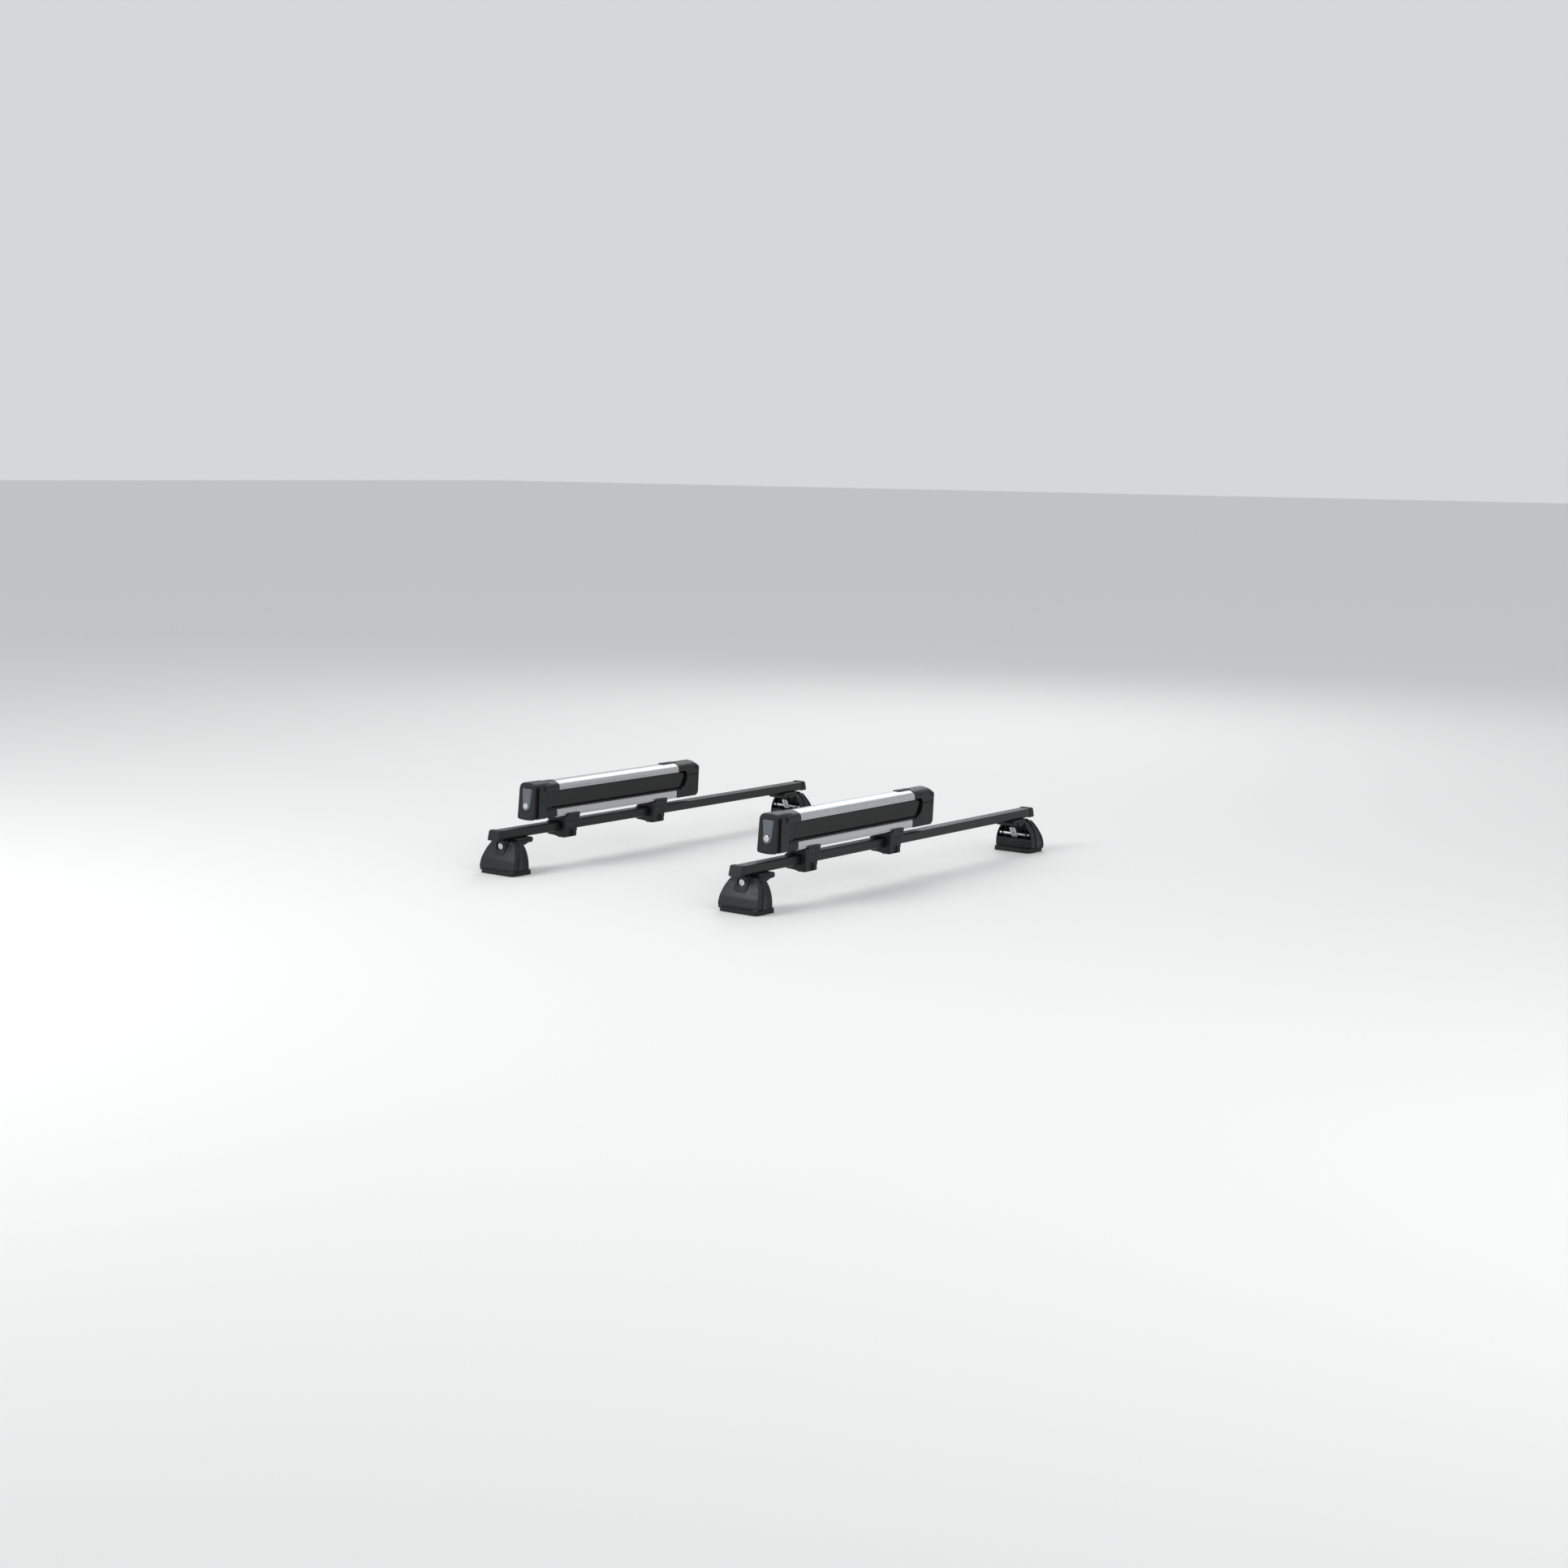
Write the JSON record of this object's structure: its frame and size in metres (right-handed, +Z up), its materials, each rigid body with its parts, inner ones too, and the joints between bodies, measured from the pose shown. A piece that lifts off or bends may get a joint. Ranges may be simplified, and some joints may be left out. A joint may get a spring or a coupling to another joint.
{
  "type": "roof ski rack",
  "caption": "Roof ski rack: square crossbars on lockable rail feet, with hinged rubber-lined ski carriers that open at a push button and clamp above the bars.",
  "frame": {"origin": "under the middle of the rack, midway between the two bars, on the plane of the rubber pads' undersides", "axes": "+X towards the front of the car, across the bars; +Y along the bars towards the car's left side; +Z up"},
  "size_m": [0.844, 1.2, 0.21],
  "materials": {
    "bar_coating": "satin black coating on a square steel tube",
    "black_plastic": "fine-grained moulded black plastic",
    "cover_plastic": "smooth dark grey moulded plastic",
    "button_plastic": "mid grey moulded plastic",
    "rubber": "soft black rubber",
    "anodised_aluminium": "extruded and anodised, with fine lines along its length",
    "lock_chrome": "bright plated lock face",
    "zinc_steel": "zinc-plated steel"
  },
  "bodies": {
    "rack": {"front_bar": "bar_coating", "front_left_end_cap": "black_plastic", "front_left_foot_frame": "black_plastic", "front_left_foot_pad": "rubber", "front_right_end_cap": "black_plastic", "front_right_foot_frame": "black_plastic", "front_right_foot_pad": "rubber", "front_lower_profile": "anodised_aluminium", "front_lower_rubber": "rubber", "front_hinge_tower": "black_plastic", "front_striker_cap": "black_plastic", "front_clamp_1_bracket": "black_plastic", "front_clamp_2_bracket": "black_plastic", "rear_bar": "bar_coating", "rear_left_end_cap": "black_plastic", "rear_left_foot_frame": "black_plastic", "rear_left_foot_pad": "rubber", "rear_right_end_cap": "black_plastic", "rear_right_foot_frame": "black_plastic", "rear_right_foot_pad": "rubber", "rear_lower_profile": "anodised_aluminium", "rear_lower_rubber": "rubber", "rear_hinge_tower": "black_plastic", "rear_striker_cap": "black_plastic", "rear_clamp_1_bracket": "black_plastic", "rear_clamp_2_bracket": "black_plastic"},
    "front_left_cover": {"front_left_foot_cover": "cover_plastic"},
    "front_left_foot_lock": {"front_left_foot_lock": "lock_chrome"},
    "front_left_strap": {"front_left_clamp_strap": "zinc_steel"},
    "front_right_cover": {"front_right_foot_cover": "cover_plastic"},
    "front_right_foot_lock": {"front_right_foot_lock": "lock_chrome"},
    "front_right_strap": {"front_right_clamp_strap": "zinc_steel"},
    "front_arm": {"front_upper_profile": "anodised_aluminium", "front_upper_rubber": "rubber", "front_hinge_cap": "black_plastic", "front_latch_housing": "cover_plastic"},
    "front_button": {"front_push_button": "button_plastic"},
    "front_carrier_lock": {"front_carrier_lock": "lock_chrome"},
    "front_hook": {"front_latch_hook": "zinc_steel"},
    "front_clamp_1_jaw": {"front_clamp_1_jaw": "black_plastic"},
    "front_clamp_1_bolt": {"front_clamp_1_bolt": "zinc_steel"},
    "front_clamp_2_jaw": {"front_clamp_2_jaw": "black_plastic"},
    "front_clamp_2_bolt": {"front_clamp_2_bolt": "zinc_steel"},
    "rear_left_cover": {"rear_left_foot_cover": "cover_plastic"},
    "rear_left_foot_lock": {"rear_left_foot_lock": "lock_chrome"},
    "rear_left_strap": {"rear_left_clamp_strap": "zinc_steel"},
    "rear_right_cover": {"rear_right_foot_cover": "cover_plastic"},
    "rear_right_foot_lock": {"rear_right_foot_lock": "lock_chrome"},
    "rear_right_strap": {"rear_right_clamp_strap": "zinc_steel"},
    "rear_arm": {"rear_upper_profile": "anodised_aluminium", "rear_upper_rubber": "rubber", "rear_hinge_cap": "black_plastic", "rear_latch_housing": "cover_plastic"},
    "rear_button": {"rear_push_button": "button_plastic"},
    "rear_carrier_lock": {"rear_carrier_lock": "lock_chrome"},
    "rear_hook": {"rear_latch_hook": "zinc_steel"},
    "rear_clamp_1_jaw": {"rear_clamp_1_jaw": "black_plastic"},
    "rear_clamp_1_bolt": {"rear_clamp_1_bolt": "zinc_steel"},
    "rear_clamp_2_jaw": {"rear_clamp_2_jaw": "black_plastic"},
    "rear_clamp_2_bolt": {"rear_clamp_2_bolt": "zinc_steel"}
  },
  "joints": [
    {"name": "front_left_cover_pull", "type": "slide", "parent": "rack", "child": "front_left_cover", "axis": [0, 1, 0], "range_m": [0, 0.03]},
    {"name": "front_left_foot_lock_turn", "type": "hinge", "parent": "front_left_cover", "child": "front_left_foot_lock", "pos_m": [0.366, 0.57, 0.067], "axis": [0, 1, 0], "range_deg": [0, 90]},
    {"name": "front_left_strap_swing", "type": "hinge", "parent": "rack", "child": "front_left_strap", "pos_m": [0.366, 0.537, 0.045], "axis": [1, 0, 0], "range_deg": [-8, 8]},
    {"name": "front_right_cover_pull", "type": "slide", "parent": "rack", "child": "front_right_cover", "axis": [0, -1, 0], "range_m": [0, 0.03]},
    {"name": "front_right_foot_lock_turn", "type": "hinge", "parent": "front_right_cover", "child": "front_right_foot_lock", "pos_m": [0.366, -0.57, 0.067], "axis": [0, -1, 0], "range_deg": [0, 90]},
    {"name": "front_right_strap_swing", "type": "hinge", "parent": "rack", "child": "front_right_strap", "pos_m": [0.366, -0.537, 0.045], "axis": [1, 0, 0], "range_deg": [-8, 8]},
    {"name": "front_arm_hinge", "type": "hinge", "parent": "rack", "child": "front_arm", "pos_m": [0.366, 0.111, 0.194], "axis": [-1, 0, 0], "range_deg": [0, 85]},
    {"name": "front_button_press", "type": "slide", "parent": "front_arm", "child": "front_button", "axis": [0, 1, 0], "range_m": [0, 0.005], "stiffness_N_per_m": 500},
    {"name": "front_carrier_lock_turn", "type": "hinge", "parent": "front_button", "child": "front_carrier_lock", "pos_m": [0.366, -0.484, 0.154], "axis": [0, -1, 0], "range_deg": [0, 90]},
    {"name": "front_hook_swing", "type": "hinge", "parent": "front_arm", "child": "front_hook", "pos_m": [0.366, -0.459, 0.167], "axis": [-1, 0, 0], "range_deg": [0, 14]},
    {"name": "front_clamp_1_bolt_turn", "type": "hinge", "parent": "rack", "child": "front_clamp_1_bolt", "pos_m": [0.366, -0.362, 0.0785], "axis": [1, 0, 0], "range_deg": [0, 1080]},
    {"name": "front_clamp_1_jaw_slide", "type": "slide", "parent": "rack", "child": "front_clamp_1_jaw", "axis": [-1, 0, 0], "range_m": [0, 0.006]},
    {"name": "front_clamp_2_bolt_turn", "type": "hinge", "parent": "rack", "child": "front_clamp_2_bolt", "pos_m": [0.366, -0.036, 0.0785], "axis": [1, 0, 0], "range_deg": [0, 1080]},
    {"name": "front_clamp_2_jaw_slide", "type": "slide", "parent": "rack", "child": "front_clamp_2_jaw", "axis": [-1, 0, 0], "range_m": [0, 0.006]},
    {"name": "rear_left_cover_pull", "type": "slide", "parent": "rack", "child": "rear_left_cover", "axis": [0, 1, 0], "range_m": [0, 0.03]},
    {"name": "rear_left_foot_lock_turn", "type": "hinge", "parent": "rear_left_cover", "child": "rear_left_foot_lock", "pos_m": [-0.366, 0.57, 0.067], "axis": [0, 1, 0], "range_deg": [0, 90]},
    {"name": "rear_left_strap_swing", "type": "hinge", "parent": "rack", "child": "rear_left_strap", "pos_m": [-0.366, 0.537, 0.045], "axis": [1, 0, 0], "range_deg": [-8, 8]},
    {"name": "rear_right_cover_pull", "type": "slide", "parent": "rack", "child": "rear_right_cover", "axis": [0, -1, 0], "range_m": [0, 0.03]},
    {"name": "rear_right_foot_lock_turn", "type": "hinge", "parent": "rear_right_cover", "child": "rear_right_foot_lock", "pos_m": [-0.366, -0.57, 0.067], "axis": [0, -1, 0], "range_deg": [0, 90]},
    {"name": "rear_right_strap_swing", "type": "hinge", "parent": "rack", "child": "rear_right_strap", "pos_m": [-0.366, -0.537, 0.045], "axis": [1, 0, 0], "range_deg": [-8, 8]},
    {"name": "rear_arm_hinge", "type": "hinge", "parent": "rack", "child": "rear_arm", "pos_m": [-0.366, 0.111, 0.194], "axis": [-1, 0, 0], "range_deg": [0, 85]},
    {"name": "rear_button_press", "type": "slide", "parent": "rear_arm", "child": "rear_button", "axis": [0, 1, 0], "range_m": [0, 0.005], "stiffness_N_per_m": 500},
    {"name": "rear_carrier_lock_turn", "type": "hinge", "parent": "rear_button", "child": "rear_carrier_lock", "pos_m": [-0.366, -0.484, 0.154], "axis": [0, -1, 0], "range_deg": [0, 90]},
    {"name": "rear_hook_swing", "type": "hinge", "parent": "rear_arm", "child": "rear_hook", "pos_m": [-0.366, -0.459, 0.167], "axis": [-1, 0, 0], "range_deg": [0, 14]},
    {"name": "rear_clamp_1_bolt_turn", "type": "hinge", "parent": "rack", "child": "rear_clamp_1_bolt", "pos_m": [-0.366, -0.362, 0.0785], "axis": [1, 0, 0], "range_deg": [0, 1080]},
    {"name": "rear_clamp_1_jaw_slide", "type": "slide", "parent": "rack", "child": "rear_clamp_1_jaw", "axis": [-1, 0, 0], "range_m": [0, 0.006]},
    {"name": "rear_clamp_2_bolt_turn", "type": "hinge", "parent": "rack", "child": "rear_clamp_2_bolt", "pos_m": [-0.366, -0.036, 0.0785], "axis": [1, 0, 0], "range_deg": [0, 1080]},
    {"name": "rear_clamp_2_jaw_slide", "type": "slide", "parent": "rack", "child": "rear_clamp_2_jaw", "axis": [-1, 0, 0], "range_m": [0, 0.006]}
  ],
  "couplings": [
    {"joint": "front_hook_swing", "follows": "front_button_press", "rad_per_m": 46},
    {"joint": "front_clamp_1_bolt_turn", "follows": "front_clamp_1_jaw_slide", "rad_per_m": 3141.6},
    {"joint": "front_clamp_2_bolt_turn", "follows": "front_clamp_2_jaw_slide", "rad_per_m": 3141.6},
    {"joint": "rear_hook_swing", "follows": "rear_button_press", "rad_per_m": 46},
    {"joint": "rear_clamp_1_bolt_turn", "follows": "rear_clamp_1_jaw_slide", "rad_per_m": 3141.6},
    {"joint": "rear_clamp_2_bolt_turn", "follows": "rear_clamp_2_jaw_slide", "rad_per_m": 3141.6}
  ]
}
